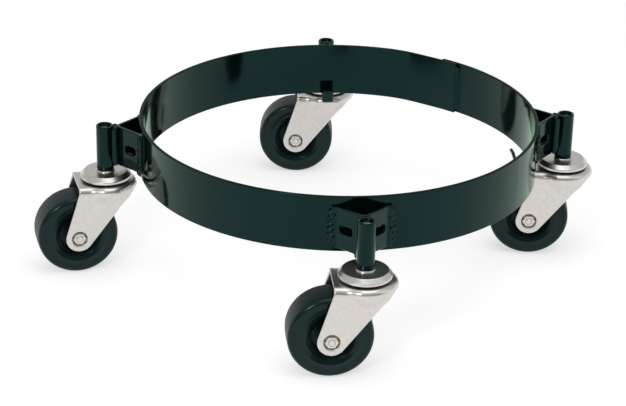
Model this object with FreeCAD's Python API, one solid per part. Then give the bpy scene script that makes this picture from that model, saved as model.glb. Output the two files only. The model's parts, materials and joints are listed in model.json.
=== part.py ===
import FreeCAD, Part
import math
import os

# Drum trolley: a welded flat-bar hoop on four swivel casters.
# Millimetres and degrees. The origin is on the hoop's axis at mid-height of its band, with +Z up.
# A caster's own axes are u along its trail, v across its wheel and z up, from the stem's axis.

# Hoop band
hoop_outer_diameter = 367.0
band_height = 50.8
band_thickness = 3.2
band_edge_round = 0.5
lap_angle = 46.5
lap_overlap = 18.5
lap_gap = 0.3
lap_ramp_length = 6.0
jog_angle = 16.0
jog_lead_angle = 2.0
main_arc_count = 4

# Places round the hoop, set by hand and so not quite a quarter turn apart, and the way each caster trails
place_names = ("right", "back", "left", "front")
place_angles = (2.4, 87.2, 179.3, 270.1)
trail_angles = (171.5, 173.75, 189.5, 179.65)

# V brackets
weld_gap = 0.1
bracket_sheet = 3.0
bracket_bend_inner = 3.0
bracket_foot_bend = 1.5
bracket_wall_angle = 46.0
bracket_flange_width = 4.6
bracket_height = 38.0
bracket_above_band_bottom = 4.9
slot_length = 13.4
slot_height = 7.8
slot_corner_round = 2.2
slot_below_middle = 0.4
slot_middle_share = 0.6

# Socket tubes
socket_stand_off = 31.5
socket_weld_gap = 3.0
socket_wall = 2.3
socket_below_bracket = 4.7
socket_length = 43.7
socket_mouth_bevel = 0.6

# Caster stems and their grip rings
stem_diameter = 11.1
stem_clearance = 0.1
stem_tip_below_mouth = 3.2
stem_tip_bevel = 1.5
collar_overhang = 2.95
collar_height = 1.2
collar_bevel = 0.4
grip_groove_depth = 0.95
grip_groove_height = 6.0
grip_groove_below_tip = 5.0
grip_ring_clearance = 0.05
grip_ring_split = 2.0

# Drum hooks
hook_width = 11.0
hook_thickness = 3.0
hook_bend_inner = 2.0
hook_drop = 4.0
hook_leg_above_seat = 30.0
hook_edge_round = 0.4
lip_above_seat = 12.4
lip_to_band = 9.5
lip_lean = 20.0

# Weld beads
bead_leg = 2.6
bead_bulge = 0.35
bead_end_margin = 3.0
socket_bead_start_angle = 4.0
socket_bead_end_angle = 42.0

# Upper race cap
cap_sheet = 2.0
cap_top_radius = 19.9
cap_rim_radius = 23.4
cap_ceiling_gap = 0.8
cap_rim_height = 2.0
cap_edge_round = 1.0

# Ball rows and lower race
upper_ball_diameter = 5.5
lower_ball_diameter = 4.76
lower_ball_stem_gap = 2.07
upper_groove_depth = 0.7
lower_groove_depth = 0.4
ball_clearance = 0.05
ball_side_gap = 0.4
lower_race_margin = 3.0
lower_race_thickness = 2.5
peened_head_overhang = 1.95
peened_head_height = 2.0

# Fork
crown_gap = 2.0
crown_radius = 28.6
crown_rim_height = 6.5
crown_rim_round = 5.0
rim_round_limit_share = 0.85
flare_height = 12.0
crown_hole_clearance = 0.95
fork_sheet = 2.5
wheel_side_gap = 4.5
wheel_top_gap = 12.4
fork_bend_outer = 5.5
fork_fore_reach = 28.3
trail = 29.1
leg_end_radius = 12.7
knee_behind = 5.8
knee_drop = 26.0
skirt_height = 7.0
skirt_start_behind = 24.0
skirt_curve_sag = 1.0
dimple_depth = 3.0
dimple_nut_gap = 0.6
dimple_flare = 0.9
dimple_boss_flare = 1.2

# Axle
axle_diameter = 6.0
axle_clearance = 0.1
nut_wall = 2.0
nut_height = 3.2
nut_bevel = 0.7
bolt_head_height = 4.0
bolt_end_past_nut = 1.0
bolt_end_bevel = 0.7
sleeve_wall = 2.0
sleeve_end_clearance = 0.1

# Wheel
wheel_diameter = 75.0
tyre_width = 32.0
tyre_shoulder = 4.5
core_radius = 20.5
core_rim_wall = 3.4
core_rim_step = 0.8
core_rim_bevel = 2.6
core_web_thickness = 14.4
hub_wall = 3.35
hub_end_gap = 0.4
hub_running_clearance = 0.05
bond_gap = 0.05

# One overrun serves all cuts
overrun = 5.0

# Worked out from the sizes above
hoop_radius = hoop_outer_diameter / 2
lap_half_angle = math.degrees(lap_overlap / hoop_radius) / 2
band_bottom = -band_height / 2

stem_radius = stem_diameter / 2
socket_bore_radius = stem_radius + stem_clearance
socket_outer_radius = socket_bore_radius + socket_wall
socket_place_radius = hoop_radius + socket_stand_off

bracket_foot_radius = hoop_radius + weld_gap
bracket_flange_radius = bracket_foot_radius + bracket_sheet
bracket_bend_outer = bracket_bend_inner + bracket_sheet
bracket_bend_centre = socket_place_radius - socket_outer_radius - socket_weld_gap - bracket_bend_outer
bracket_bottom = band_bottom + bracket_above_band_bottom
bracket_middle = bracket_bottom + bracket_height / 2

socket_bottom = bracket_bottom - socket_below_bracket
socket_top = socket_bottom + socket_length
stem_tip = socket_top - stem_tip_below_mouth
grip_groove_top = stem_tip - grip_groove_below_tip
grip_groove_bottom = grip_groove_top - grip_groove_height
grip_groove_radius = stem_radius - grip_groove_depth
cap_top = socket_bottom - collar_height
cap_height = upper_ball_diameter + cap_sheet + cap_ceiling_gap - upper_groove_depth - crown_gap
cap_rim_bottom = cap_top - cap_height

hook_seat = band_bottom - hook_drop
hook_leg_radius = hoop_radius + weld_gap
lip_radius = hoop_radius - band_thickness - lip_to_band

wheel_radius = wheel_diameter / 2
axle_radius = axle_diameter / 2
axle_hole_radius = axle_radius + axle_clearance
nut_corner_radius = (axle_diameter + 2 * nut_wall) / math.sqrt(3)
sleeve_radius = axle_hole_radius + sleeve_wall
core_bore_radius = sleeve_radius + hub_running_clearance

crown_top = cap_rim_bottom - crown_gap
crown_underside = crown_top - fork_sheet
rim_round_limit = rim_round_limit_share * crown_rim_height
fork_bend_radius = min(fork_bend_outer, rim_round_limit)
leg_top = crown_top - fork_bend_radius
axle_height = crown_top - wheel_top_gap - wheel_radius
fork_inner_half_width = tyre_width / 2 + wheel_side_gap
fork_half_width = fork_inner_half_width + fork_sheet
dimple_floor_radius = nut_corner_radius + dimple_nut_gap
dimple_mouth_radius = dimple_floor_radius + dimple_flare
dimple_floor = fork_half_width - dimple_depth
boss_face = fork_inner_half_width - dimple_depth
hub_half_length = boss_face - hub_end_gap

upper_ball_radius = upper_ball_diameter / 2
lower_ball_radius = lower_ball_diameter / 2
lower_ball_pitch_radius = stem_radius + lower_ball_stem_gap + lower_ball_radius
upper_ball_centre = crown_top - upper_groove_depth + upper_ball_radius
lower_ball_centre = crown_underside + lower_groove_depth - lower_ball_radius
lower_race_top = lower_ball_centre - lower_ball_radius + lower_groove_depth
lower_race_bottom = lower_race_top - lower_race_thickness
peened_head_bottom = lower_race_bottom - peened_head_height

up = FreeCAD.Vector(0, 0, 1)
across = FreeCAD.Vector(0, 1, 0)
middle = FreeCAD.Vector(0, 0, 0)


def point(x, y, z=0):
    return FreeCAD.Vector(x, y, z)


def polar(radius, angle, z=0):
    turn = math.radians(angle)
    return point(radius * math.cos(turn), radius * math.sin(turn), z)


def line(start, end):
    return Part.makeLine(start, end)


def arc(start, through, end):
    return Part.Arc(start, through, end).toShape()


def prism(edges, direction):
    """Solid swept straight from a closed flat outline."""
    return Part.Face(Part.Wire(edges)).extrude(direction)


def polygon_prism(corners, direction):
    return Part.Face(Part.makePolygon(corners + corners[:1])).extrude(direction)


def turned(profile):
    """Solid of revolution about the Z axis from (radius, z) corners."""
    corners = [point(radius, 0, z) for radius, z in profile]
    return Part.Face(Part.makePolygon(corners + corners[:1])).revolve(middle, up, 360)


def turned_on_axle(profile):
    """Solid of revolution about the axle from (radius, v) corners."""
    corners = [point(trail + radius, v, axle_height) for radius, v in profile]
    face = Part.Face(Part.makePolygon(corners + corners[:1]))
    return face.revolve(point(trail, 0, axle_height), across, 360)


def mirrored(shape):
    """The same shape on the other side of the plane y = 0."""
    return shape.mirror(middle, across)


def around_hoop(shape, angle):
    placed = shape.copy()
    placed.rotate(middle, up, angle)
    return placed


def under_socket(shape, place):
    """A caster piece turned to its trail and moved to its socket."""
    placed = shape.copy()
    placed.rotate(middle, up, trail_angles[place])
    placed.translate(polar(socket_place_radius, place_angles[place]))
    return placed


def save(name, shape):
    shape.exportStep(os.path.join("parts", name + ".step"))


# Hoop band

def strip_shift(angle, jog_start):
    """How far the strip has moved inwards where it passes under its other end."""
    share = min(max((jog_start - angle) / jog_angle, 0), 1)
    return (band_thickness + lap_gap) * share * share * (3 - 2 * share)


def strip_face_edges(radius, angles, jog_start):
    edges = []
    for start, end in zip(angles, angles[1:]):
        stops = (start, (start + end) / 2, end)
        edges.append(arc(*[polar(radius - strip_shift(a, jog_start), a, band_bottom) for a in stops]))
    return edges


def hoop_band():
    outer_end = lap_angle + lap_half_angle
    inner_end = lap_angle - lap_half_angle - 360
    jog_end = outer_end - 360 + jog_lead_angle
    jog_start = jog_end + jog_angle
    angles = [outer_end + (jog_start - outer_end) * i / main_arc_count for i in range(main_arc_count)]
    angles += [jog_start, (jog_start + jog_end) / 2, jog_end, inner_end]
    outside = strip_face_edges(hoop_radius, angles, jog_start)
    inside = strip_face_edges(hoop_radius - band_thickness, angles, jog_start)
    first = line(inside[0].Vertexes[0].Point, outside[0].Vertexes[0].Point)
    last = line(outside[-1].Vertexes[-1].Point, inside[-1].Vertexes[-1].Point)
    outline = [first] + outside + [last] + inside[::-1]
    band = prism(outline, up * band_height)
    long_edges = [edge for edge in band.Edges if abs(edge.tangentAt(edge.FirstParameter).z) < 0.5
                  and edge.Length > 2 * band_thickness]
    return band.makeFillet(min(band_edge_round, band_thickness / 3), long_edges)


def upright_bead(radius, angle, rise, run, height):
    """Weld on a round face of this radius, against a radial face at this angle.

    It rises outwards and runs towards larger angles, or the other way where these are negative.
    """
    far_angle = angle + math.degrees(run / radius)
    mid_angle = (angle + far_angle) / 2
    swell_radius = radius + rise / 2 + math.copysign(bead_bulge, rise)
    bottom = -height / 2
    foot = polar(radius, angle, bottom)
    crest = polar(radius + rise, angle, bottom)
    toe = polar(radius, far_angle, bottom)
    edges = [
        line(foot, crest),
        arc(crest, polar(swell_radius, mid_angle, bottom), toe),
        arc(toe, polar(radius, mid_angle, bottom), foot),
    ]
    return prism(edges, up * height)


def lap_beads():
    """One bead outside, against the outer end, and a flat ramp inside, against the inner end."""
    height = band_height - 2 * bead_end_margin
    strip_inside = hoop_radius - band_thickness
    outer_end = lap_angle + lap_half_angle
    inner_end = lap_angle - lap_half_angle
    return [
        upright_bead(strip_inside - lap_gap, outer_end, bead_leg, bead_leg, height),
        upright_bead(strip_inside, inner_end, -band_thickness, -lap_ramp_length, height),
    ]


# V brackets, in their own axes: x outwards along the hoop's radius, y along the hoop

def wall_point(bend_radius, along):
    """A point on the bracket wall's face that has this bend radius, this far from the bend's tangent."""
    lean = math.radians(bracket_wall_angle)
    x = bracket_bend_centre + bend_radius * math.sin(lean) - along * math.cos(lean)
    y = bend_radius * math.cos(lean) + along * math.sin(lean)
    return point(x, y, bracket_bottom)


def wall_length(bend_radius, foot_radius):
    """Length of that face from the bend's tangent to a circle round the hoop's axis."""
    lean = math.radians(bracket_wall_angle)
    inward = bracket_bend_centre * math.cos(lean)
    start = wall_point(bend_radius, 0)
    return inward - math.sqrt(inward ** 2 - start.x ** 2 - start.y ** 2 + foot_radius ** 2)


def outer_foot():
    """Where the wall's outside meets the flange's outside."""
    return wall_point(bracket_bend_outer, wall_length(bracket_bend_outer, bracket_flange_radius))


def inner_foot():
    """Where the wall's inside meets the flange's inside."""
    return wall_point(bracket_bend_inner, wall_length(bracket_bend_inner, bracket_foot_radius))


def flange_end_angle():
    foot = outer_foot()
    return math.degrees(math.atan2(foot.y, foot.x) + bracket_flange_width / bracket_flange_radius)


def bracket_half_edges():
    """Outline of the bracket's +y half, from the bend's outside round to its inside."""
    outer, inner = outer_foot(), inner_foot()
    end_angle = flange_end_angle()
    outer_mid = (math.degrees(math.atan2(outer.y, outer.x)) + end_angle) / 2
    inner_mid = (math.degrees(math.atan2(inner.y, inner.x)) + end_angle) / 2
    flange_tip = polar(bracket_flange_radius, end_angle, bracket_bottom)
    flange_heel = polar(bracket_foot_radius, end_angle, bracket_bottom)
    return [
        line(wall_point(bracket_bend_outer, 0), outer),
        arc(outer, polar(bracket_flange_radius, outer_mid, bracket_bottom), flange_tip),
        line(flange_tip, flange_heel),
        arc(flange_heel, polar(bracket_foot_radius, inner_mid, bracket_bottom), inner),
        line(inner, wall_point(bracket_bend_inner, 0)),
    ]


def bend_edge(bend_radius):
    start = wall_point(bend_radius, 0)
    apex = point(bracket_bend_centre + bend_radius, 0, bracket_bottom)
    return arc(point(start.x, -start.y, start.z), apex, start)


def bracket_slot():
    """Cutter for the slot in the +y wall, made square to the axes and then laid along the wall."""
    through = bracket_sheet + 2 * overrun
    slot = Part.makeBox(slot_length, through, slot_height)
    slot.translate(point(-slot_length / 2, -through / 2, -slot_height / 2))
    corners = [edge for edge in slot.Edges if edge.BoundBox.YLength > through / 2]
    slot = slot.makeFillet(min(slot_corner_round, slot_height / 3), corners)
    slot.rotate(middle, up, 180 - bracket_wall_angle)
    along = slot_middle_share * wall_length(bracket_bend_outer, bracket_flange_radius)
    place = wall_point(bracket_bend_inner + bracket_sheet / 2, along)
    slot.translate(point(place.x, place.y, bracket_middle - slot_below_middle))
    return slot


def upright_edges_at(body, place):
    """The body's upright edges at this place and at its mirror place."""
    found = []
    for edge in body.Edges:
        offset = edge.CenterOfMass - place
        mirror_offset = edge.CenterOfMass - point(place.x, -place.y, place.z)
        near = min(math.hypot(offset.x, offset.y), math.hypot(mirror_offset.x, mirror_offset.y))
        if near < weld_gap and edge.BoundBox.ZLength > bracket_height / 2:
            found.append(edge)
    return found


def bracket():
    half = bracket_half_edges()
    other_half = [mirrored(edge) for edge in half]
    outline = [bend_edge(bracket_bend_outer)] + half + [bend_edge(bracket_bend_inner)] + other_half[::-1]
    body = prism(outline, up * bracket_height)
    body = body.makeFillet(bracket_foot_bend, upright_edges_at(body, outer_foot()))
    body = body.makeFillet(bracket_foot_bend + bracket_sheet, upright_edges_at(body, inner_foot()))
    slot = bracket_slot()
    return body.cut(slot).cut(mirrored(slot))


def bracket_beads():
    height = bracket_height - 2 * bead_end_margin
    bead = upright_bead(hoop_radius, flange_end_angle(), bead_leg, bead_leg, height)
    bead.translate(up * bracket_middle)
    return [bead, mirrored(bead)]


# Socket tubes

def socket_tube():
    bevel = socket_mouth_bevel
    tube = turned([
        (socket_bore_radius, socket_bottom),
        (socket_outer_radius, socket_bottom),
        (socket_outer_radius, socket_top - bevel),
        (socket_outer_radius - bevel, socket_top),
        (socket_bore_radius + bevel, socket_top),
        (socket_bore_radius, socket_top - bevel),
    ])
    tube.translate(point(socket_place_radius, 0))
    return tube


def socket_bead():
    """Weld that fills the gap between the tube and the bracket's bend, on the +y side."""
    bottom = bracket_bottom + bead_end_margin
    tube_stops = [socket_bead_start_angle,
                  (socket_bead_start_angle + socket_bead_end_angle) / 2,
                  socket_bead_end_angle]
    tube_axis = point(socket_place_radius, 0)
    bend_axis = point(bracket_bend_centre, 0)
    tube_points = [polar(-socket_outer_radius, -a, bottom) + tube_axis for a in tube_stops]
    bend_points = [polar(bracket_bend_outer, a, bottom) + bend_axis for a in tube_stops]
    crown = (tube_points[2] + bend_points[2]) / 2 + across * bead_bulge
    edges = [
        arc(*tube_points),
        arc(tube_points[2], crown, bend_points[2]),
        arc(*bend_points[::-1]),
        line(bend_points[0], tube_points[0]),
    ]
    return prism(edges, up * (bracket_height - 2 * bead_end_margin))


# Drum hooks, in the bracket's axes

def drum_hook():
    """Strip bent into a J: a leg up the outside of the band, a seat under it and a leaning lip inside."""
    inner, outer = hook_bend_inner, hook_bend_inner + hook_thickness
    lean = math.radians(lip_lean)
    side = -hook_width / 2
    leg_back = hook_leg_radius + hook_thickness
    underside = hook_seat - hook_thickness
    bend_height = hook_seat + inner
    leg_bend = hook_leg_radius - inner
    lip_bend = lip_radius + inner
    leg_end = hook_seat + hook_leg_above_seat
    lip_length = (lip_above_seat - inner * (1 - math.sin(lean))) / math.cos(lean)

    def at(x, z):
        return point(x, side, z)

    leg_middle = point(1, 0, -1).normalize()
    lip_face = point(-math.cos(lean), 0, -math.sin(lean))
    lip_middle = (lip_face - up).normalize()
    lip_rise = point(-math.sin(lean), 0, math.cos(lean)) * lip_length
    leg_centre = at(leg_bend, bend_height)
    lip_centre = at(lip_bend, bend_height)
    lip_inner = lip_centre + lip_face * inner
    lip_outer = lip_centre + lip_face * outer
    edges = [
        line(at(hook_leg_radius, leg_end), at(leg_back, leg_end)),
        line(at(leg_back, leg_end), at(leg_back, bend_height)),
        arc(at(leg_back, bend_height), leg_centre + leg_middle * outer, at(leg_bend, underside)),
        line(at(leg_bend, underside), at(lip_bend, underside)),
        arc(at(lip_bend, underside), lip_centre + lip_middle * outer, lip_outer),
        line(lip_outer, lip_outer + lip_rise),
        line(lip_outer + lip_rise, lip_inner + lip_rise),
        line(lip_inner + lip_rise, lip_inner),
        arc(lip_inner, lip_centre + lip_middle * inner, at(lip_bend, hook_seat)),
        line(at(lip_bend, hook_seat), at(leg_bend, hook_seat)),
        arc(at(leg_bend, hook_seat), leg_centre + leg_middle * inner, at(hook_leg_radius, bend_height)),
        line(at(hook_leg_radius, bend_height), at(hook_leg_radius, leg_end)),
    ]
    strip = prism(edges, across * hook_width)
    side_edges = [edge for edge in strip.Edges if edge.BoundBox.YLength < hook_width / 2]
    return strip.makeFillet(min(hook_edge_round, hook_thickness / 3), side_edges)


def hook_bead():
    """Weld along the top of a hook's leg, against the band."""
    bottom = hook_seat + hook_leg_above_seat
    side = -hook_width / 2
    heel = point(hook_leg_radius, side, bottom)
    toe = point(hook_leg_radius + bead_leg, side, bottom)
    crest = point(hook_leg_radius, side, bottom + bead_leg)
    swell = point(hook_leg_radius + bead_leg / 2 + bead_bulge, side, bottom + bead_leg / 2 + bead_bulge)
    return prism([line(heel, toe), arc(toe, swell, crest), line(crest, heel)], across * hook_width)


# Casters, in their own axes

def caster_stem():
    collar_radius = stem_radius + collar_overhang
    peened_head_radius = stem_radius + peened_head_overhang
    return turned([
        (0, peened_head_bottom),
        (peened_head_radius, peened_head_bottom),
        (peened_head_radius, lower_race_bottom),
        (stem_radius, lower_race_bottom),
        (stem_radius, cap_top),
        (collar_radius, cap_top),
        (collar_radius, socket_bottom - collar_bevel),
        (collar_radius - collar_bevel, socket_bottom),
        (stem_radius, socket_bottom),
        (stem_radius, grip_groove_bottom),
        (grip_groove_radius, grip_groove_bottom),
        (grip_groove_radius, grip_groove_top),
        (stem_radius, grip_groove_top),
        (stem_radius, stem_tip - stem_tip_bevel),
        (stem_radius - stem_tip_bevel, stem_tip),
        (0, stem_tip),
    ])


def grip_ring():
    inner = grip_groove_radius + grip_ring_clearance
    outer = socket_bore_radius - grip_ring_clearance
    top = grip_groove_top - grip_ring_clearance
    bottom = grip_groove_bottom + grip_ring_clearance
    ring = turned([(inner, bottom), (outer, bottom), (outer, top), (inner, top)])
    split = Part.makeBox(outer + overrun, grip_ring_split, grip_groove_height + overrun)
    split.translate(point(0, -grip_ring_split / 2, bottom - overrun / 2))
    return ring.cut(split)


def cap_slope_normal():
    """Unit normal (radius, z) of the cap's slope, pointing into the cap."""
    run = cap_rim_radius - cap_top_radius
    drop = cap_height - cap_rim_height
    length = math.hypot(run, drop)
    return -drop / length, -run / length


def upper_race():
    normal_radius, normal_z = cap_slope_normal()
    run_per_drop = (cap_rim_radius - cap_top_radius) / (cap_height - cap_rim_height)
    shoulder = cap_rim_bottom + cap_rim_height
    hole_radius = stem_radius + stem_clearance
    slope_radius = cap_top_radius + cap_sheet * normal_radius
    slope_z = cap_top + cap_sheet * normal_z
    ceiling = cap_top - cap_sheet
    ceiling_radius = slope_radius + (slope_z - ceiling) * run_per_drop
    rim_inner_radius = cap_rim_radius - cap_sheet
    rim_z = slope_z - (rim_inner_radius - slope_radius) / run_per_drop
    cap = turned([
        (hole_radius, cap_top),
        (cap_top_radius, cap_top),
        (cap_rim_radius, shoulder),
        (cap_rim_radius, cap_rim_bottom),
        (rim_inner_radius, cap_rim_bottom),
        (rim_inner_radius, rim_z),
        (ceiling_radius, ceiling),
        (hole_radius, ceiling),
    ])
    outer_edges = [edge for edge in cap.Edges if edge.BoundBox.ZLength < cap_edge_round
                   and edge.BoundBox.ZMin > cap_rim_bottom + cap_rim_height / 2
                   and edge.BoundBox.XLength > 2 * cap_top_radius - cap_edge_round]
    return cap.makeFillet(min(cap_edge_round, cap_rim_height / 2), outer_edges)


def upper_ball_pitch_radius():
    """The balls bear on the inside of the cap's slope, and clear its rim."""
    normal_radius, normal_z = cap_slope_normal()
    depth = cap_sheet + upper_ball_radius + ball_clearance
    on_slope = cap_top_radius + (depth - (upper_ball_centre - cap_top) * normal_z) / normal_radius
    return min(on_slope, cap_rim_radius - depth)


def ball_ring(ball_radius, pitch_radius, centre_height):
    """As many balls as the circle takes."""
    count = int(math.pi / math.asin((ball_radius + ball_side_gap / 2) / pitch_radius))
    balls = []
    for number in range(count):
        balls.append(Part.makeSphere(ball_radius, polar(pitch_radius, 360 * number / count, centre_height)))
    return balls


def swivel_balls():
    upper = ball_ring(upper_ball_radius, upper_ball_pitch_radius(), upper_ball_centre)
    lower = ball_ring(lower_ball_radius, lower_ball_pitch_radius, lower_ball_centre)
    return upper + lower


def groove(ball_radius, pitch_radius, centre_height):
    return Part.makeTorus(pitch_radius, ball_radius + ball_clearance, point(0, 0, centre_height))


def lower_race():
    hole_radius = stem_radius + stem_clearance
    lower_race_radius = lower_ball_pitch_radius + lower_race_margin
    washer = turned([
        (hole_radius, lower_race_bottom),
        (lower_race_radius, lower_race_bottom),
        (lower_race_radius, lower_race_top),
        (hole_radius, lower_race_top),
    ])
    return washer.cut(groove(lower_ball_radius, lower_ball_pitch_radius, lower_ball_centre))


def trail_slab(start, end, half_width, bottom, top, bend):
    """Block along the trail with its two long top edges rounded."""
    corner = point(start, -half_width, bottom)
    block = Part.makeBox(end - start, 2 * half_width, top - bottom, corner)
    bends = [edge for edge in block.Edges if edge.BoundBox.ZMin > bottom and edge.BoundBox.YLength < half_width]
    return block.makeFillet(bend, bends)


def leg_plan(half_width, reach, bottom):
    """The fork seen from above, up to the legs' tops: a disc round the stem and a block along the trail."""
    height = leg_top - bottom
    disc = Part.makeCylinder(crown_radius, height, point(0, 0, bottom))
    slab = Part.makeBox(2 * crown_radius, 2 * half_width, height, point(-crown_radius, -half_width, bottom))
    block = Part.makeBox(reach, 2 * half_width, height, point(0, -half_width, bottom))
    return disc.common(slab).fuse(block)


def fork_hollow(reach, bottom):
    """The room inside the fork, one sheet in from its outside."""
    radius = crown_radius - fork_sheet
    bend = max(fork_bend_radius - fork_sheet, fork_bend_radius / 2)
    slab = trail_slab(-radius, reach, fork_inner_half_width, bottom, crown_underside, bend)
    disc = Part.makeCylinder(radius, crown_underside - bottom, point(0, 0, bottom))
    ahead = Part.makeBox(reach, 2 * crown_radius, crown_underside - bottom, point(0, -crown_radius, bottom))
    return slab.common(disc.fuse(ahead))


def tangent_angle(x, z, side):
    """Direction, from the axle, of the point where a line from (x, z) touches the leg's round end."""
    run, rise = x - trail, z - axle_height
    return math.degrees(math.atan2(rise, run) + side * math.acos(leg_end_radius / math.hypot(run, rise)))


def leg_profile(half_width):
    """The fork's outline seen from the side, swept across its width."""

    def at(x, z):
        return point(x, -half_width, z)

    def on_end(angle):
        turn = math.radians(angle)
        return at(trail + leg_end_radius * math.cos(turn), axle_height + leg_end_radius * math.sin(turn))

    knee_height = crown_top - knee_drop
    skirt_bottom = crown_top - skirt_height
    fore_angle = tangent_angle(fork_fore_reach, leg_top, -1)
    aft_angle = tangent_angle(-knee_behind, knee_height, 1) - 360
    fore_top = at(fork_fore_reach, leg_top)
    knee = at(-knee_behind, knee_height)
    skirt_start = at(-skirt_start_behind, skirt_bottom)
    skirt_end = at(-crown_radius - overrun, skirt_bottom)
    aft_top = at(-crown_radius - overrun, leg_top)
    way = (skirt_start - knee).normalize()
    sag_point = (knee + skirt_start) / 2 + point(way.z, 0, -way.x) * skirt_curve_sag
    edges = [
        line(fore_top, on_end(fore_angle)),
        arc(on_end(fore_angle), on_end((fore_angle + aft_angle) / 2), on_end(aft_angle)),
        line(on_end(aft_angle), knee),
        arc(knee, sag_point, skirt_start),
        line(skirt_start, skirt_end),
        line(skirt_end, aft_top),
        line(aft_top, fore_top),
    ]
    return prism(edges, across * (2 * half_width))


def crown_disc():
    disc = Part.makeCylinder(crown_radius, crown_rim_height, point(0, 0, crown_top - crown_rim_height))
    top_edges = [edge for edge in disc.Edges if edge.BoundBox.ZMin > crown_top - crown_rim_height / 2]
    return disc.makeFillet(min(crown_rim_round, rim_round_limit), top_edges)


def crown_flare():
    """Where the legs swell out to meet the crown's rim."""
    bottom = crown_top - crown_rim_height - flare_height
    return Part.makeCone(fork_half_width, crown_radius, flare_height, point(0, 0, bottom))


def on_axle(shape):
    """Lay a shape that was made round +Z along the axle, its base at v = 0."""
    placed = shape.copy()
    placed.rotate(middle, point(1, 0, 0), -90)
    placed.translate(point(trail, 0, axle_height))
    return placed


def dimple_boss():
    height = fork_inner_half_width - boss_face
    base_radius = dimple_mouth_radius + dimple_boss_flare
    cone = on_axle(Part.makeCone(dimple_floor_radius + dimple_boss_flare, base_radius, height))
    cone.translate(across * boss_face)
    return cone


def dimple_recess():
    slope = (dimple_mouth_radius - dimple_floor_radius) / dimple_depth
    depth = dimple_depth + overrun
    cone = on_axle(Part.makeCone(dimple_floor_radius, dimple_floor_radius + slope * depth, depth))
    cone.translate(across * dimple_floor)
    return cone


def fork():
    low = axle_height - leg_end_radius - overrun
    reach = trail + leg_end_radius + overrun
    legs = leg_plan(fork_half_width, reach, low).fuse(crown_flare())
    legs = legs.common(leg_profile(crown_radius + overrun))
    block_bottom = crown_top - crown_rim_height
    block = trail_slab(0, fork_fore_reach, fork_half_width, block_bottom, crown_top, fork_bend_radius)
    shell = crown_disc().fuse([block, legs]).cut(fork_hollow(reach, low))
    boss = dimple_boss()
    recess = dimple_recess()
    shell = shell.fuse([boss, mirrored(boss)]).cut([recess, mirrored(recess)])
    axle_hole = on_axle(Part.makeCylinder(axle_hole_radius, 2 * (fork_half_width + overrun)))
    axle_hole.translate(across * -(fork_half_width + overrun))
    stem_hole_radius = stem_radius + crown_hole_clearance
    stem_hole_base = point(0, 0, crown_underside - overrun)
    stem_hole = Part.makeCylinder(stem_hole_radius, fork_sheet + 2 * overrun, stem_hole_base)
    upper_groove = groove(upper_ball_radius, upper_ball_pitch_radius(), upper_ball_centre)
    lower_groove = groove(lower_ball_radius, lower_ball_pitch_radius, lower_ball_centre)
    return shell.cut([axle_hole, stem_hole, upper_groove, lower_groove]).removeSplitter()


def hexagon(height):
    """Six-sided prism with its outer corners bevelled, standing on z = 0."""
    corners = [polar(nut_corner_radius, 60 * number) for number in range(6)]
    block = polygon_prism(corners, up * height)
    envelope = turned([
        (0, 0),
        (nut_corner_radius, 0),
        (nut_corner_radius, height - nut_bevel / 2),
        (nut_corner_radius - nut_bevel, height),
        (0, height),
    ])
    return block.common(envelope)


def axle_bolt():
    head = mirrored(on_axle(hexagon(bolt_head_height)))
    head.translate(across * -dimple_floor)
    end = dimple_floor + nut_height + bolt_end_past_nut
    shank = turned_on_axle([
        (0, -dimple_floor),
        (axle_radius, -dimple_floor),
        (axle_radius, end - bolt_end_bevel),
        (axle_radius - bolt_end_bevel, end),
        (0, end),
    ])
    return head.fuse(shank).removeSplitter()


def axle_nut():
    bore = Part.makeCylinder(axle_hole_radius, nut_height + 2 * overrun, point(0, 0, -overrun))
    nut = on_axle(hexagon(nut_height).cut(bore))
    nut.translate(across * dimple_floor)
    return nut


def axle_sleeve():
    end = boss_face - sleeve_end_clearance
    return turned_on_axle([
        (axle_hole_radius, -end),
        (sleeve_radius, -end),
        (sleeve_radius, end),
        (axle_hole_radius, end),
    ])


def wheel_core():
    face = tyre_width / 2 - core_rim_step
    rim_inner = core_radius - core_rim_wall
    floor = core_web_thickness / 2
    hub_radius = core_bore_radius + hub_wall
    half = [
        (core_radius - bond_gap, face),
        (rim_inner, face - core_rim_bevel),
        (rim_inner, floor),
        (hub_radius, floor),
        (hub_radius, hub_half_length),
        (core_bore_radius, hub_half_length),
    ]
    other_half = [(radius, -v) for radius, v in half]
    return turned_on_axle(half + other_half[::-1])


def wheel_tyre():
    half_width = tyre_width / 2
    tyre = turned_on_axle([
        (core_radius, -half_width),
        (wheel_radius, -half_width),
        (wheel_radius, half_width),
        (core_radius, half_width),
    ])
    shoulders = [edge for edge in tyre.Edges if edge.BoundBox.YLength < half_width
                 and edge.BoundBox.XLength > wheel_radius + core_radius]
    return tyre.makeFillet(min(tyre_shoulder, half_width / 2), shoulders)


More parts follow.
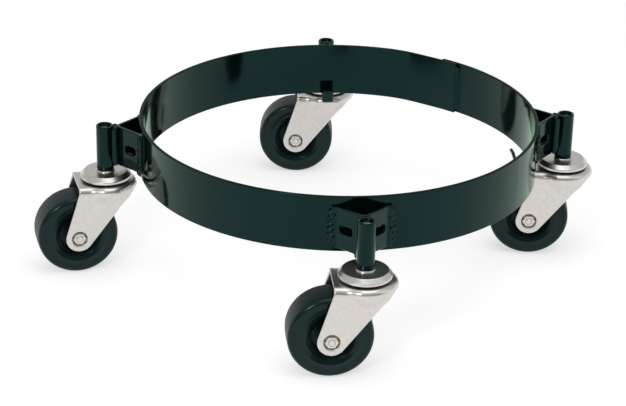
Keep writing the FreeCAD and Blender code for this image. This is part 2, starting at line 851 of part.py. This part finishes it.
def build():
    os.makedirs("parts", exist_ok=True)
    save("hoop_band", hoop_band())
    save("lap_welds", Part.makeCompound(lap_beads()))
    hoop_pieces = {
        "caster_bracket": bracket(),
        "socket_tube": socket_tube(),
        "drum_hook": drum_hook(),
    }
    caster_pieces = {
        "caster_stem": caster_stem(),
        "upper_race": upper_race(),
        "lower_race": lower_race(),
        "swivel_balls": Part.makeCompound(swivel_balls()),
        "fork": fork(),
        "axle_bolt": axle_bolt(),
        "axle_nut": axle_nut(),
        "axle_sleeve": axle_sleeve(),
        "wheel_core": wheel_core(),
        "wheel_tyre": wheel_tyre(),
    }
    bead = socket_bead()
    bead_groups = {
        "bracket_welds": bracket_beads(),
        "socket_welds": [bead, mirrored(bead)],
        "hook_welds": [hook_bead()],
    }
    for place, place_name in enumerate(place_names):
        for piece, shape in hoop_pieces.items():
            save(piece + "_" + place_name, around_hoop(shape, place_angles[place]))
        for piece, shape in caster_pieces.items():
            save(piece + "_" + place_name, under_socket(shape, place))
    for group, beads in bead_groups.items():
        placed = [around_hoop(shape, angle) for angle in place_angles for shape in beads]
        save(group, Part.makeCompound(placed))
    ring = grip_ring()
    save("grip_rings", Part.makeCompound([under_socket(ring, place) for place in range(len(place_names))]))


build()
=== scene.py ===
import bmesh
import bpy
import json
import math
import numpy
from mathutils import Matrix, Quaternion, Vector, noise

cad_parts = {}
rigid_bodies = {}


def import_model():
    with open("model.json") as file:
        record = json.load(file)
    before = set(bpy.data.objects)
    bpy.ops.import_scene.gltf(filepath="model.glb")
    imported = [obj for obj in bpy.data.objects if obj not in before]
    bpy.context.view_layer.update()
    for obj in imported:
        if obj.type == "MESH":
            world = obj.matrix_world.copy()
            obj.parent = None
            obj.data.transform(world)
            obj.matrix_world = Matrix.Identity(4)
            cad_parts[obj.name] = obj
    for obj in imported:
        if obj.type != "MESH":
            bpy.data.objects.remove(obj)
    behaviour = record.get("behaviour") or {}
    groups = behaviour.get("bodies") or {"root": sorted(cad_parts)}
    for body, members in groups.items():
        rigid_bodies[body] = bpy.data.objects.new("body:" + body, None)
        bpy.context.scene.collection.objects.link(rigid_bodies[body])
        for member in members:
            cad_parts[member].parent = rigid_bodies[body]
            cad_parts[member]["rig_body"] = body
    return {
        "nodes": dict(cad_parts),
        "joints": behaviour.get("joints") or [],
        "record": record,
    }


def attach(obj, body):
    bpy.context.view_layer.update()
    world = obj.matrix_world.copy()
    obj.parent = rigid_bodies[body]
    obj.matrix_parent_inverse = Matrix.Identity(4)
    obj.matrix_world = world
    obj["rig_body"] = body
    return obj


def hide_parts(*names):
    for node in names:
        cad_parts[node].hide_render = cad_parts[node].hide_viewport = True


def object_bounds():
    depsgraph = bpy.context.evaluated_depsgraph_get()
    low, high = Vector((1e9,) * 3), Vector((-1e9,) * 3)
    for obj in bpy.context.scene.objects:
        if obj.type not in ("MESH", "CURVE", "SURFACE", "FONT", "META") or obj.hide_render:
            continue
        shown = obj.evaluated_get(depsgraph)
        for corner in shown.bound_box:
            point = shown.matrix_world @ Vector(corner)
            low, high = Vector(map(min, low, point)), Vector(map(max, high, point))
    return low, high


# Drum trolley: a painted flat-bar hoop on four plated swivel casters. Metres, in the frame of the solids.
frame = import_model()
cad_low, cad_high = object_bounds()
nodes = frame["nodes"]
joints = {joint["name"]: joint for joint in frame["joints"]}
places = ("right", "back", "left", "front")
up = Vector((0, 0, 1))
white = (1, 1, 1, 1)

# Camera, as the photograph was taken, with its angles in degrees
image_width_px = 626
focal_length_px = 2111.3
sensor_width_mm = 36.0
camera_azimuth = -6.05
camera_elevation = 24.71
camera_roll = 1.23
camera_place = Vector((-0.21175, -1.78843, 0.7636))

# Studio: a pale floor in a white room whose ceiling and camera side are dim
floor_half_size = 6.0
floor_albedo = 0.6
floor_glow = 0.6
world_fill = 0.5
dim_side = Vector((-0.1, -1.0, 0.0))
dim_side_strength = 0.15
dim_side_start_share = 0.25
dim_side_end_share = 0.6
dim_side_top_start_share = 0.25
dim_side_top_end_share = 0.5
ceiling_strength = 0.6
ceiling_start_share = 0.12
ceiling_end_share = 0.36

# Each softbox: name, direction from the trolley, distance, size, watts
softboxes = (
    ("left_softbox", Vector((-0.49, -0.76, 0.42)), 1.8, 0.3, 5.0),
    ("right_softbox", Vector((0.80, -0.45, 0.55)), 1.9, 0.9, 1.4),
    ("top_softbox", Vector((0.05, -0.2, 1.0)), 1.8, 1.4, 8.0),
)

# Noise in the finishes: its layers from smooth to fine, and the middle range in which most of it lies
smooth_detail = 1.0
soft_detail = 2.0
plain_detail = 3.0
rich_detail = 4.0
fine_detail = 5.0
finer_layer_share = 0.5
noise_low_share = 0.3
noise_high_share = 0.7

# Edges and crevices: samples, and how far a face must turn or be covered to count as one; crevices are
# darkened as painted shade
edge_samples = 4
edge_turned_share = 0.85
edge_flat_share = 0.995
crevice_samples = 8
crevice_open_share = 0.4

# Sockets of the mix node when it mixes colours
mix_share_socket = 0
mix_first_socket = 6
mix_second_socket = 7
mix_result_socket = 2

# Black enamel
paint_dark = (0.0006, 0.003, 0.0035, 1)
paint_light = (0.0014, 0.005, 0.0055, 1)
# Lighter colour of chips along the edges: wear, and a painted edge highlight
paint_worn_and_lit = (0.012, 0.017, 0.017, 1)
paint_specular = 0.28
paint_specular_tint = (0.42, 1.0, 1.08, 1)
paint_coat_ior = 1.045
paint_coat_tint = (0.91, 1.0, 0.935, 1)
paint_roughness = (0.06, 0.12)
paint_cloud_cell = 0.03
paint_gloss_cell = 0.012
paint_wave_cell = 0.035
paint_wave_depth = 0.00012
paint_grain_cell = 0.0014
paint_grain_depth = 0.000005
paint_chip_cell = 0.004
paint_chip_shares = (0.58, 0.7)
paint_edge_width = 0.0006

# Sheared edges of the hoop's bar: the dull shine of their thin paint, and how level a face of an edge is
edge_paint_specular = 0.05
edge_face_level_share = 0.5

# Zinc plate
zinc_warm = (0.72, 0.66, 0.63, 1)
zinc_cool = (0.67, 0.67, 0.64, 1)
zinc_blotched = (0.56, 0.54, 0.50, 1)
zinc_grained = (0.46, 0.43, 0.40, 1)
# Colour of the painted shade laid into gaps and corners
zinc_painted_shade = (0.36, 0.36, 0.33, 1)
zinc_blotch_share = 0.5
zinc_grain_share = 0.16
zinc_roughness = (0.26, 0.36)
zinc_cloud_cell = 0.014
zinc_blotch_cell = 0.0035
zinc_blotch_layer_share = 0.65
zinc_grain_cell = 0.0008
zinc_grain_depth = 0.000008
# How far the painted shade in crevices looks for cover
zinc_painted_shade_reach = 0.002

# Greased bearing steel, both colours darkened as painted shade of the gaps where these parts sit
steel_bare_shaded = (0.10, 0.09, 0.07, 1)
steel_greased_shaded = (0.03, 0.028, 0.022, 1)
steel_roughness = (0.25, 0.45)
steel_film_cell = 0.003

# Tyre rubber
rubber_dark = (0.003, 0.012, 0.013, 1)
rubber_light = (0.006, 0.016, 0.017, 1)
rubber_specular = 0.25
rubber_specular_tint = (0.7, 1.0, 1.0, 1)
rubber_roughness = (0.16, 0.24)
rubber_cloud_cell = 0.012
rubber_grain_cell = 0.0006
rubber_grain_depth = 0.000008

# Scuffed rubber of the tread
scuff_dark = (0.004, 0.010, 0.010, 1)
scuff_light = (0.013, 0.020, 0.018, 1)
scuff_specular = 0.2
scuff_specular_tint = (0.5, 1.0, 0.95, 1)
scuff_roughness = (0.38, 0.5)
scuff_cell = 0.002
scuff_depth = 0.00003

# Moulded plastic of the wheel cores
plastic_dark = (0.002, 0.004, 0.005, 1)
plastic_light = (0.004, 0.007, 0.008, 1)
plastic_specular = 0.22
plastic_specular_tint = (0.5, 1.0, 1.0, 1)
plastic_roughness = (0.3, 0.42)
plastic_cloud_cell = 0.008
plastic_grain_cell = 0.0009
plastic_grain_depth = 0.00001

# Pressed sheet and nuts: the grid they are remeshed on and how often they are smoothed
fork_grid = 0.00045
fork_smoothing = 28
sheet_grid = 0.0005
sheet_smoothing = 9
nut_grid = 0.00022
nut_smoothing = 3

# Fork crown: how far about the corner between rim and leg it is drawn in, and how often it is smoothed
crown_blend_reach = 0.0115
crown_blend_drop = 0.024
crown_blend_fade = 0.006
crown_blend_rounds = 700

# Weld beads, and the lumps of weld metal along them
weld_grid = 0.0004
weld_smoothing = 6
socket_weld_smoothing = 16
same_point_distance = 0.000001
fewest_lumps = 2
lump_subdivisions = 2
lump_seed = 3
flange_lump_radius = 0.0023
flange_lump_pitch = 0.0056
flange_lump_climb = 0.0044
flange_lump_climb_gain = 2
flange_lump_lift = 0.0022
flange_lump_sag = 0.003
flange_lump_shares = (0.0, 0.5, 1.0)
flange_lump_spread_share = 0.6
flange_lump_taper_share = 0.15
socket_lump_radius = 0.0034
socket_lump_pitch = 0.0024
socket_lump_overhang = 0.0016

# Tyres
tyre_segments = 256
tyre_shoulder = 0.0045
shoulder_steps = 10
tread_crown = 0.0003
tread_steps = 8
side_ring_share = 0.27
side_ring_width = 0.0012
side_ring_height = 0.0003
side_ring_across_shares = (0.0, 0.25, 0.75, 1.0)
side_ring_middle_share = 0.5
bore_round = 0.0006


# Studio

def make_camera():
    data = bpy.data.cameras.new("photo_camera")
    data.sensor_width = sensor_width_mm
    data.lens = sensor_width_mm * focal_length_px / image_width_px
    camera = linked("photo_camera", data)
    turn, rise = math.radians(camera_azimuth), math.radians(camera_elevation)
    forward = Vector((-math.sin(turn) * math.cos(rise), math.cos(turn) * math.cos(rise), -math.sin(rise)))
    roll = Quaternion(up, math.radians(camera_roll))
    camera.rotation_mode = "QUATERNION"
    camera.rotation_quaternion = forward.to_track_quat("-Z", "Y") @ roll
    camera.location = camera_place
    bpy.context.scene.camera = camera


def make_softbox(name, direction, distance, size, watts):
    data = bpy.data.lights.new(name, "AREA")
    data.shape = "SQUARE"
    data.size = size
    data.energy = watts
    lamp = linked(name, data)
    lamp.rotation_mode = "QUATERNION"
    lamp.rotation_quaternion = (-direction).to_track_quat("-Z", "Y")
    lamp.location = direction.normalized() * distance
    lamp.visible_camera = False


def seen_or_mirrored(tree):
    """1 for rays from the camera and for what shines or shows through, else 0."""
    path = tree.nodes.new("ShaderNodeLightPath")
    total = path.outputs["Is Camera Ray"]
    for name in ("Is Glossy Ray", "Is Transmission Ray"):
        total = math_node(tree, "MAXIMUM", total, path.outputs[name])
    return total


def room_strength(tree):
    """How bright the room looks in reflections: full low down, dim above and on the camera side."""
    direction = tree.nodes.new("ShaderNodeTexCoord").outputs["Generated"]
    towards = tree.nodes.new("ShaderNodeVectorMath")
    towards.operation = "DOT_PRODUCT"
    tree.links.new(direction, towards.inputs[0])
    towards.inputs[1].default_value = dim_side.normalized()
    split = tree.nodes.new("ShaderNodeSeparateXYZ")
    tree.links.new(direction, split.inputs["Vector"])
    height = split.outputs["Z"]
    ahead = ranged(tree, towards.outputs["Value"], 0.0, 1.0, dim_side_start_share, dim_side_end_share)
    low = ranged(tree, height, 1.0, 0.0, dim_side_top_start_share, dim_side_top_end_share)
    side = ranged(tree, math_node(tree, "MULTIPLY", ahead, low), 1.0, dim_side_strength, 0.0, 1.0)
    above = ranged(tree, height, 1.0, ceiling_strength, ceiling_start_share, ceiling_end_share)
    return math_node(tree, "MULTIPLY", side, above)


def make_world():
    """White to the camera, a room with dim sides in reflections, and an even fill for everything else."""
    world = bpy.data.worlds.new("studio")
    bpy.context.scene.world = world
    world.use_nodes = True
    world.cycles.sampling_method = "NONE"
    tree = world.node_tree
    background = tree.nodes["Background"]
    background.inputs["Color"].default_value = white
    path = tree.nodes.new("ShaderNodeLightPath")
    mirrored = math_node(tree, "MULTIPLY", room_strength(tree), path.outputs["Is Glossy Ray"])
    fill = math_node(tree, "MULTIPLY", path.outputs["Is Diffuse Ray"], world_fill)
    seen = math_node(tree, "MAXIMUM", path.outputs["Is Camera Ray"], path.outputs["Is Transmission Ray"])
    strength = math_node(tree, "MAXIMUM", math_node(tree, "MAXIMUM", seen, mirrored), fill)
    tree.links.new(strength, background.inputs["Strength"])


def make_floor():
    mesh = bpy.data.meshes.new("floor")
    half, low = floor_half_size, cad_low.z
    corners = [(-half, -half, low), (half, -half, low), (half, half, low), (-half, half, low)]
    mesh.from_pydata(corners, [], [(0, 1, 2, 3)])
    floor = linked("floor", mesh)
    material = bpy.data.materials.new("studio_floor")
    material.use_nodes = True
    material.cycles.emission_sampling = "NONE"
    tree = material.node_tree
    shader = tree.nodes["Principled BSDF"]
    shader.inputs["Base Color"].default_value = (floor_albedo, floor_albedo, floor_albedo, 1)
    shader.inputs["Roughness"].default_value = 1.0
    shader.inputs["Specular IOR Level"].default_value = 0.0
    shader.inputs["Emission Color"].default_value = white
    glow = math_node(tree, "MULTIPLY", seen_or_mirrored(tree), floor_glow)
    tree.links.new(glow, shader.inputs["Emission Strength"])
    mesh.materials.append(material)


# Shader nodes

def put(tree, socket, value):
    """Set a socket to a constant, or link another node's output to it."""
    if isinstance(value, bpy.types.NodeSocket):
        tree.links.new(value, socket)
    else:
        socket.default_value = value


def math_node(tree, operation, *values):
    made = tree.nodes.new("ShaderNodeMath")
    made.operation = operation
    for socket, value in zip(made.inputs, values):
        put(tree, socket, value)
    return made.outputs["Value"]


def noise_value(tree, vector, cell, detail, layer_share=finer_layer_share):
    """Noise from 0 to 1 whose cells are about this many metres across."""
    made = tree.nodes.new("ShaderNodeTexNoise")
    put(tree, made.inputs["Vector"], vector)
    made.inputs["Scale"].default_value = 1 / cell
    made.inputs["Detail"].default_value = detail
    made.inputs["Roughness"].default_value = layer_share
    return made.outputs["Fac"]


def ranged(tree, value, low, high, start=noise_low_share, end=noise_high_share):
    """Spread the part of a value between start and end over low to high."""
    made = tree.nodes.new("ShaderNodeMapRange")
    put(tree, made.inputs["Value"], value)
    made.inputs["From Min"].default_value = start
    made.inputs["From Max"].default_value = end
    made.inputs["To Min"].default_value = low
    made.inputs["To Max"].default_value = high
    return made.outputs["Result"]


def blend_colour(tree, share, first, second):
    made = tree.nodes.new("ShaderNodeMix")
    made.data_type = "RGBA"
    put(tree, made.inputs[mix_share_socket], share)
    put(tree, made.inputs[mix_first_socket], first)
    put(tree, made.inputs[mix_second_socket], second)
    return made.outputs[mix_result_socket]


def bumped(tree, height, depth, normal=None):
    """A normal that follows a height from 0 to 1, this many metres deep."""
    made = tree.nodes.new("ShaderNodeBump")
    made.inputs["Strength"].default_value = 1.0
    made.inputs["Distance"].default_value = depth
    tree.links.new(height, made.inputs["Height"])
    if normal is not None:
        tree.links.new(normal, made.inputs["Normal"])
    return made.outputs["Normal"]


def edge_share(tree, radius):
    """1 along outside and inside edges, 0 on flat faces."""
    bevel = tree.nodes.new("ShaderNodeBevel")
    bevel.samples = edge_samples
    bevel.inputs["Radius"].default_value = radius
    geometry = tree.nodes.new("ShaderNodeNewGeometry")
    product = tree.nodes.new("ShaderNodeVectorMath")
    product.operation = "DOT_PRODUCT"
    tree.links.new(bevel.outputs["Normal"], product.inputs[0])
    tree.links.new(geometry.outputs["Normal"], product.inputs[1])
    return ranged(tree, product.outputs["Value"], 1.0, 0.0, edge_turned_share, edge_flat_share)


def crevice_shade_share(tree, distance):
    """1 deep in gaps and corners, 0 in the open: the mask for painted shade."""
    made = tree.nodes.new("ShaderNodeAmbientOcclusion")
    made.samples = crevice_samples
    made.inputs["Distance"].default_value = distance
    return ranged(tree, made.outputs["AO"], 1.0, 0.0, 0.0, crevice_open_share)


def new_material(name):
    material = bpy.data.materials.new(name)
    material.use_nodes = True
    tree = material.node_tree
    place = tree.nodes.new("ShaderNodeTexCoord").outputs["Object"]
    return material, tree, tree.nodes["Principled BSDF"], place


def set_shine(shader, specular_level, tint):
    shader.inputs["Specular IOR Level"].default_value = specular_level
    shader.inputs["Specular Tint"].default_value = tint


# Materials

def black_paint(name, specular_level):
    """Gloss enamel, a little wavy, lighter in chips along the edges as wear and as a painted highlight, and
    with a faint green at a flat angle.
    """
    material, tree, shader, place = new_material(name)
    cloud = noise_value(tree, place, paint_cloud_cell, rich_detail)
    spots = noise_value(tree, place, paint_chip_cell, plain_detail)
    chips = ranged(tree, spots, 0.0, 1.0, *paint_chip_shares)
    # Chipped edges turn lighter: wear, and a painted highlight along the edges
    worn_and_lit = math_node(tree, "MULTIPLY", edge_share(tree, paint_edge_width), chips)
    colour = blend_colour(tree, cloud, paint_dark, paint_light)
    put(tree, shader.inputs["Base Color"], blend_colour(tree, worn_and_lit, colour, paint_worn_and_lit))
    set_shine(shader, specular_level, paint_specular_tint)
    shader.inputs["Coat Weight"].default_value = 1.0
    shader.inputs["Coat IOR"].default_value = paint_coat_ior
    shader.inputs["Coat Tint"].default_value = paint_coat_tint
    gloss = noise_value(tree, place, paint_gloss_cell, fine_detail)
    put(tree, shader.inputs["Roughness"], ranged(tree, gloss, *paint_roughness))
    wavy = bumped(tree, noise_value(tree, place, paint_wave_cell, smooth_detail), paint_wave_depth)
    grain = noise_value(tree, place, paint_grain_cell, smooth_detail)
    put(tree, shader.inputs["Normal"], bumped(tree, grain, paint_grain_depth, wavy))
    return material


def zinc_plate():
    """Satin plating with cloudy tints, dull blotches, a fine grain and painted shade in the crevices."""
    material, tree, shader, place = new_material("zinc_plate")
    cloud = noise_value(tree, place, zinc_cloud_cell, rich_detail)
    grain = noise_value(tree, place, zinc_grain_cell, plain_detail)
    blotch = noise_value(tree, place, zinc_blotch_cell, fine_detail, zinc_blotch_layer_share)
    colour = blend_colour(tree, ranged(tree, cloud, 0.0, 1.0), zinc_warm, zinc_cool)
    colour = blend_colour(tree, ranged(tree, blotch, 0.0, zinc_blotch_share), colour, zinc_blotched)
    colour = blend_colour(tree, ranged(tree, grain, 0.0, zinc_grain_share), colour, zinc_grained)
    # Painted shade: darker where ambient occlusion finds gaps and corners
    colour = blend_colour(tree, crevice_shade_share(tree, zinc_painted_shade_reach), colour, zinc_painted_shade)
    put(tree, shader.inputs["Base Color"], colour)
    shader.inputs["Metallic"].default_value = 1.0
    put(tree, shader.inputs["Roughness"], ranged(tree, blotch, *zinc_roughness))
    put(tree, shader.inputs["Normal"], bumped(tree, grain, zinc_grain_depth))
    return material


def bearing_steel():
    """Hard steel under an uneven film of grease, darkened all over as painted shade of the gaps it sits in.
    """
    material, tree, shader, place = new_material("bearing_steel")
    film = noise_value(tree, place, steel_film_cell, plain_detail)
    # Both colours are kept dark: grease, and painted shade of the gap
    put(tree, shader.inputs["Base Color"], blend_colour(tree, film, steel_bare_shaded, steel_greased_shaded))
    shader.inputs["Metallic"].default_value = 1.0
    put(tree, shader.inputs["Roughness"], ranged(tree, film, *steel_roughness))
    return material


def tyre_rubber():
    """Smooth moulded rubber on the sides of the tyres."""
    material, tree, shader, place = new_material("tyre_rubber")
    cloud = noise_value(tree, place, rubber_cloud_cell, rich_detail)
    grain = noise_value(tree, place, rubber_grain_cell, soft_detail)
    put(tree, shader.inputs["Base Color"], blend_colour(tree, cloud, rubber_dark, rubber_light))
    set_shine(shader, rubber_specular, rubber_specular_tint)
    put(tree, shader.inputs["Roughness"], ranged(tree, cloud, *rubber_roughness))
    put(tree, shader.inputs["Normal"], bumped(tree, grain, rubber_grain_depth))
    return material


def scuffed_rubber():
    """Duller, rougher rubber where the tyres run on the floor."""
    material, tree, shader, place = new_material("scuffed_rubber")
    scuffs = noise_value(tree, place, scuff_cell, fine_detail)
    put(tree, shader.inputs["Base Color"], blend_colour(tree, scuffs, scuff_dark, scuff_light))
    set_shine(shader, scuff_specular, scuff_specular_tint)
    put(tree, shader.inputs["Roughness"], ranged(tree, scuffs, *scuff_roughness))
    put(tree, shader.inputs["Normal"], bumped(tree, scuffs, scuff_depth))
    return material


def wheel_plastic():
    """Dark plastic with a moulded grain."""
    material, tree, shader, place = new_material("wheel_plastic")
    cloud = noise_value(tree, place, plastic_cloud_cell, rich_detail)
    grain = noise_value(tree, place, plastic_grain_cell, soft_detail)
    put(tree, shader.inputs["Base Color"], blend_colour(tree, cloud, plastic_dark, plastic_light))
    set_shine(shader, plastic_specular, plastic_specular_tint)
    put(tree, shader.inputs["Roughness"], ranged(tree, cloud, *plastic_roughness))
    put(tree, shader.inputs["Normal"], bumped(tree, grain, plastic_grain_depth))
    return material


def dress_nodes(finishes):
    """Give every node of the solids the finish of its slot in the record."""
    for row in frame["record"]["subparts"]:
        mesh = nodes[row["node"]].data
        mesh.materials.clear()
        mesh.materials.append(finishes[row["material_slot"]])


# Pieces

def linked(name, data):
    made = bpy.data.objects.new(name, data)
    bpy.context.scene.collection.objects.link(made)
    return made


def stand_for(node_name, mesh, suffix):
    """Show a mesh in place of a node, on the node's body and with its finish."""
    node = nodes[node_name]
    mesh.materials.clear()
    mesh.materials.append(node.data.materials[0])
    piece = linked(node_name + suffix, mesh)
    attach(piece, node["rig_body"])
    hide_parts(node_name)


def points_of(mesh):
    return numpy.array([tuple(vert.co) for vert in mesh.vertices])


def applied(piece):
    """The mesh of a piece with its modifiers applied. The piece itself goes."""
    result = bpy.data.meshes.new_from_object(piece.evaluated_get(bpy.context.evaluated_depsgraph_get()))
    bpy.data.objects.remove(piece)
    return result


def softened(mesh, grid, smoothing):
    """The mesh remade on a fine grid and smoothed, so that its edges come out round."""
    piece = linked("remade", mesh)
    remesh = piece.modifiers.new("grid", "REMESH")
    remesh.mode = "VOXEL"
    remesh.voxel_size = grid
    remesh.use_smooth_shade = True
    smooth = piece.modifiers.new("round", "SMOOTH")
    smooth.iterations = smoothing
    return applied(piece)


def caster_axes(place):
    """From a caster's own axes, x along its trail and y along its axle, to the frame."""
    axle = Vector(joints[place + "_wheel_spin"]["axis"])
    turned = Matrix((axle.cross(up), axle, up)).transposed().to_4x4()
    return Matrix.Translation(Vector(joints[place + "_swivel"]["pos_m"])) @ turned


def hoop_axes(place):
    """From axes with x outwards at this place of the hoop to the frame."""
    stem = joints[place + "_swivel"]["pos_m"]
    return Matrix.Rotation(math.atan2(stem[1], stem[0]), 4, "Z")


def crown_blend_shares(mesh):
    """For each point of a fork in its caster's axes, 1 where rim and leg meet at a corner, 0 away from it."""
    points = points_of(mesh)
    sides = numpy.abs(points[:, 1])
    top, bottom = points[:, 2].max(), points[:, 2].min()
    crown = sides.max()
    legs = sides[points[:, 2] < bottom + crown_blend_fade].max()
    corner = math.sqrt(crown ** 2 - legs ** 2)
    near = 1 - numpy.hypot(points[:, 0] - corner, sides - legs) / crown_blend_reach
    high = (points[:, 2] - top + crown_blend_drop) / crown_blend_fade
    return numpy.clip(near, 0, 1) * numpy.clip(high, 0, 1)


def draw_in_crown(mesh):
    """The fork with its round rim drawn into its straight legs in a long curve, as a press leaves it."""
    piece = linked("drawn_in", mesh)
    group = piece.vertex_groups.new(name="corner")
    for number, share in enumerate(crown_blend_shares(mesh)):
        if share > 0:
            group.add([number], float(share), "REPLACE")
    smooth = piece.modifiers.new("draw_in", "SMOOTH")
    smooth.vertex_group = "corner"
    smooth.iterations = crown_blend_rounds
    return applied(piece)


def soften_alike(piece_name, axes, grid, smoothing, finish=None):
    """Replace the four copies of a piece by one softened mesh, made square to the grid."""
    pattern = nodes[piece_name + "_front"].data.copy()
    pattern.transform(axes("front").inverted())
    pattern = softened(pattern, grid, smoothing)
    if finish is not None:
        pattern = finish(pattern)
    for place in places:
        mesh = pattern.copy()
        mesh.transform(axes(place))
        stand_for(piece_name + "_" + place, mesh, "_rounded")


def dull_band_edges(edge_finish):
    """Show the hoop with a thinner, duller coat of paint on the sheared edges of its bar."""
    mesh = nodes["hoop_band"].data.copy()
    stand_for("hoop_band", mesh, "_painted")
    mesh.materials.append(edge_finish)
    for face in mesh.polygons:
        face.material_index = int(abs(face.normal.z) > edge_face_level_share)


def solids_of(node_name):
    """The points of each separate solid of a node."""
    grown = bmesh.new()
    grown.from_mesh(nodes[node_name].data)
    bmesh.ops.remove_doubles(grown, verts=grown.verts, dist=same_point_distance)
    left = set(grown.verts)
    found = []
    for first in grown.verts:
        if first not in left:
            continue
        left.remove(first)
        group, waiting = [], [first]
        while waiting:
            vert = waiting.pop()
            group.append(tuple(vert.co))
            for edge in vert.link_edges:
                other = edge.other_vert(vert)
                if other in left:
                    left.remove(other)
                    waiting.append(other)
        found.append(numpy.array(group))
    grown.free()
    return found


def lump_places(points, pitch, overhang):
    """Places along the longest way of one bead, and a chance vector for each."""
    middle = points.mean(axis=0)
    spread = numpy.linalg.eigh(numpy.cov((points - middle).T))[1][:, -1]
    reach = numpy.abs((points - middle) @ spread).max() + overhang
    count = max(fewest_lumps, round(2 * reach / pitch))
    for number in range(count):
        along = (2 * number + 1) / count - 1
        place = Vector(middle + spread * along * reach)
        yield place, noise.noise_vector(place / pitch)


def add_lump(grown, place, radius):
    bmesh.ops.create_icosphere(grown, subdivisions=lump_subdivisions, radius=radius,
                               matrix=Matrix.Translation(place))


def level_direction(point):
    """Straight out from the hoop's axis towards a point."""
    return Vector((point[0], point[1], 0)).normalized()


def add_flange_lumps(grown, points):
    """Uneven runs of weld metal, some of them up onto the flange that the bead holds."""
    stems = [level_direction(joints[place + "_swivel"]["pos_m"]) for place in places]
    for place, chance in lump_places(points, flange_lump_pitch, 0):
        outwards = level_direction(place)
        stem = max(stems, key=outwards.dot)
        sideways = (stem - outwards * stem.dot(outwards)).normalized()
        climb = sideways * flange_lump_climb + outwards * flange_lump_lift
        climb = climb * min(1, abs(chance.x) * flange_lump_climb_gain)
        size = flange_lump_radius * (1 + flange_lump_spread_share * chance.z)
        for share in flange_lump_shares:
            bend = Vector((0, 0, flange_lump_sag * share ** 2 * chance.y))
            add_lump(grown, place + climb * share + bend, size * (1 - flange_lump_taper_share * share))


def add_socket_lumps(grown, points):
    """A round run of weld metal that fills the corner between tube and bracket."""
    for place, _ in lump_places(points, socket_lump_pitch, socket_lump_overhang):
        add_lump(grown, place, socket_lump_radius)


def make_welds(node_name, smoothing, add_to_bead=None):
    """Show the beads of a node as laid by hand, with any lumps melted into them."""
    grown = bmesh.new()
    grown.from_mesh(nodes[node_name].data)
    if add_to_bead is not None:
        for points in solids_of(node_name):
            add_to_bead(grown, points)
    mesh = bpy.data.meshes.new(node_name)
    grown.to_mesh(mesh)
    grown.free()
    stand_for(node_name, softened(mesh, weld_grid, smoothing), "_laid")


def tyre_half_profile(bore, radius, half_width):
    """Points (radius, v) of one side, from the bore up the side and shoulder to the middle of the tread."""
    ring = bore + side_ring_share * (radius - bore)
    profile = [(bore, half_width - bore_round), (bore + bore_round, half_width)]
    for share in side_ring_across_shares:
        lift = side_ring_height if 0 < share < 1 else 0
        profile.append((ring + side_ring_width * (share - side_ring_middle_share), half_width + lift))
    for step in range(shoulder_steps + 1):
        turn = math.pi / 2 * step / shoulder_steps
        profile.append((radius - tread_crown - tyre_shoulder * (1 - math.sin(turn)),
                        half_width - tyre_shoulder * (1 - math.cos(turn))))
    edge = half_width - tyre_shoulder
    for step in range(1, tread_steps):
        v = edge * (1 - step / tread_steps)
        profile.append((radius - tread_crown * (v / edge) ** 2, v))
    profile.append((radius, 0))
    return profile


def wheel_sizes(place):
    """The tyre's bore, radius and half width, measured on its node."""
    joint = joints[place + "_wheel_spin"]
    axle = numpy.array(joint["axis"])
    arms = points_of(nodes["wheel_tyre_" + place].data) - joint["pos_m"]
    along = arms @ axle
    radii = numpy.linalg.norm(arms - numpy.outer(along, axle), axis=1)
    return float(radii.min()), float(radii.max()), float(numpy.abs(along).max())


def make_tyre(place, tread_finish):
    """A tyre turned from its profile, with another finish between its two shoulders."""
    half = tyre_half_profile(*wheel_sizes(place))
    profile = half + [(radius, -v) for radius, v in half[-2::-1]]
    axes = caster_axes(place)
    axes.translation = Vector(joints[place + "_wheel_spin"]["pos_m"])
    points, faces = [], []
    count = len(profile)
    for step in range(tyre_segments):
        turn = 2 * math.pi * step / tyre_segments
        for radius, v in profile:
            points.append(axes @ Vector((radius * math.cos(turn), v, radius * math.sin(turn))))
        here, there = step * count, (step + 1) % tyre_segments * count
        for number in range(count):
            after = (number + 1) % count
            faces.append((here + number, here + after, there + after, there + number))
    mesh = bpy.data.meshes.new("wheel_tyre")
    mesh.from_pydata(points, [], faces)
    mesh.shade_smooth()
    stand_for("wheel_tyre_" + place, mesh, "_moulded")
    mesh.materials.append(tread_finish)
    tread_from, tread_to = len(half) - tread_steps - 1, len(half) + tread_steps - 2
    for number, face in enumerate(mesh.polygons):
        face.material_index = int(tread_from <= number % count <= tread_to)


bpy.context.scene.view_settings.view_transform = "Standard"
make_camera()
make_world()
make_floor()
for softbox in softboxes:
    make_softbox(*softbox)
dress_nodes({
    "black_paint": black_paint("black_enamel", paint_specular),
    "zinc_plate": zinc_plate(),
    "bearing_steel": bearing_steel(),
    "tyre_rubber": tyre_rubber(),
    "wheel_plastic": wheel_plastic(),
})
soften_alike("fork", caster_axes, fork_grid, fork_smoothing, draw_in_crown)
soften_alike("axle_nut", caster_axes, nut_grid, nut_smoothing)
for sheet_piece in ("caster_bracket", "socket_tube", "drum_hook"):
    soften_alike(sheet_piece, hoop_axes, sheet_grid, sheet_smoothing)
dull_band_edges(black_paint("thin_enamel", edge_paint_specular))
noise.seed_set(lump_seed)
make_welds("bracket_welds", weld_smoothing, add_flange_lumps)
make_welds("socket_welds", socket_weld_smoothing, add_socket_lumps)
make_welds("hook_welds", weld_smoothing)
tread = scuffed_rubber()
for wheel_place in places:
    make_tyre(wheel_place, tread)
